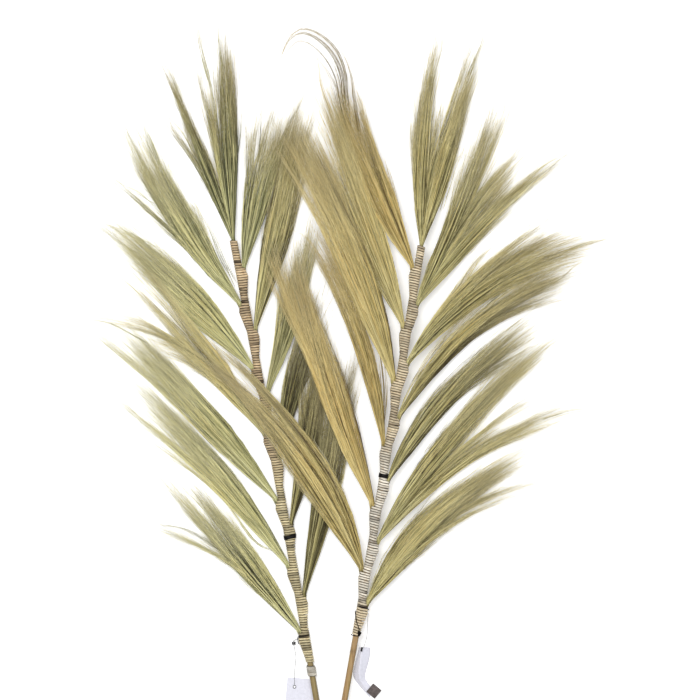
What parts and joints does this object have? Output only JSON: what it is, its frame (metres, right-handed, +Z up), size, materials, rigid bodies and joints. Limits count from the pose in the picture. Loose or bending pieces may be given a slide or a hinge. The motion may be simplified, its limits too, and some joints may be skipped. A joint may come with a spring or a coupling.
{
  "type": "dried grass bundle",
  "caption": "Flat-lying bundle of dried rayung grass: feathery plumes bound with cord along slim crossing sticks, with small blank swing tags.",
  "frame": {"origin": "middle of the bundle's outline on the plan, at the height of the surface that it lies on", "axes": "+Y up the branches from their cut ends to the top plumes, +X to the right of someone who looks down on the bundle, +Z up away from the surface"},
  "size_m": [0.8684, 1.4528, 0.0452],
  "materials": {
    "sage_grass": "matte",
    "golden_grass": "matte",
    "olive_stick": "satin",
    "tan_stick": "satin",
    "tan_cord": "matte",
    "cream_cord": "matte",
    "white_cord": "matte",
    "black_tape": "matte",
    "black_thread": "matte",
    "black_plastic": "satin",
    "grey_string": "matte",
    "white_card": "matte",
    "brown_paper": "matte"
  },
  "bodies": {
    "root": {"left_stick": "olive_stick", "left_binding_cord": "tan_cord", "left_tape_band": "black_tape", "left_top_plume": "sage_grass", "left_inner_plume_1": "sage_grass", "left_inner_plume_2": "sage_grass", "left_inner_plume_3": "sage_grass", "left_inner_plume_4": "sage_grass", "left_inner_plume_5": "sage_grass", "left_inner_plume_6": "sage_grass", "left_outer_plume_1": "sage_grass", "left_outer_plume_2": "sage_grass", "left_outer_plume_3": "sage_grass", "left_outer_plume_4": "sage_grass", "left_outer_plume_5": "sage_grass", "left_outer_plume_6": "sage_grass", "right_stick": "tan_stick", "right_binding_cord": "cream_cord", "right_tape_band": "black_tape", "right_top_plume": "golden_grass", "right_inner_plume_1": "golden_grass", "right_inner_plume_2": "golden_grass", "right_inner_plume_3": "golden_grass", "right_inner_plume_4": "golden_grass", "right_inner_plume_5": "golden_grass", "right_inner_plume_6": "golden_grass", "right_outer_plume_1": "golden_grass", "right_outer_plume_2": "golden_grass", "right_outer_plume_3": "golden_grass", "right_outer_plume_4": "golden_grass", "right_outer_plume_5": "golden_grass", "right_outer_plume_6": "golden_grass", "left_end_cord": "white_cord", "left_black_thread": "black_thread", "right_black_thread": "black_thread", "right_end_thread": "black_thread", "right_root_thread": "black_thread", "right_knot": "black_thread", "left_tag_card": "white_card", "left_tag_eyelet": "black_plastic", "left_tag_seal": "black_plastic", "left_tag_string": "grey_string", "right_tag_card": "white_card", "right_tag_patch": "brown_paper", "right_tag_clasp": "black_plastic", "right_tag_string": "grey_string"}
  },
  "joints": []
}
